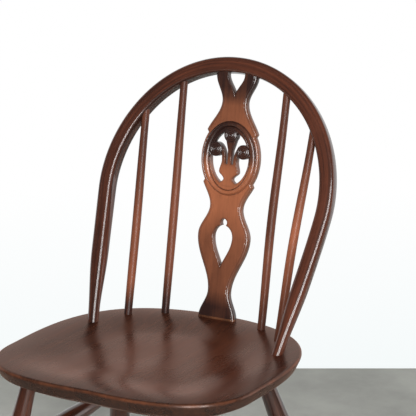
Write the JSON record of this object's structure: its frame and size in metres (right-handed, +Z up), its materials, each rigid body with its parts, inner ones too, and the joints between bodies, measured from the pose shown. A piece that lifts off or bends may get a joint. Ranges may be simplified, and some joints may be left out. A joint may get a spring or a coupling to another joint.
{
  "type": "hoop-back dining chair",
  "caption": "Wooden hoop-back dining chair with a saddled seat, turned splayed legs joined by stretchers, slender spindles and a pierced, carved thistle splat.",
  "frame": {"origin": "on the floor, in the middle of the chair's bounding box", "axes": "+Z up, +Y from the seat's front to the back rest, +X to the sitter's left"},
  "size_m": [0.4674, 0.4791, 0.842],
  "materials": {
    "wood_dark": "dark red-brown stain under semi-gloss lacquer",
    "wood_light": "shaded brown stain under semi-gloss lacquer",
    "wedge_wood": "bare wood",
    "pin_steel": "plain steel"
  },
  "bodies": {
    "root": {"seat": "wood_dark", "back_bow": "wood_dark", "leg_front_left": "wood_dark", "leg_front_right": "wood_dark", "leg_rear_left": "wood_dark", "leg_rear_right": "wood_dark", "stretcher_left": "wood_dark", "stretcher_right": "wood_dark", "stretcher_cross": "wood_dark", "splat": "wood_light", "spindle_outer_left": "wood_light", "spindle_inner_left": "wood_light", "spindle_inner_right": "wood_light", "spindle_outer_right": "wood_light", "leg_wedge_front_left": "wedge_wood", "leg_wedge_front_right": "wedge_wood", "leg_wedge_rear_left": "wedge_wood", "leg_wedge_rear_right": "wedge_wood", "bow_wedge_left": "wedge_wood", "bow_wedge_right": "wedge_wood", "splat_pin_left": "pin_steel", "splat_pin_right": "pin_steel"}
  },
  "joints": []
}
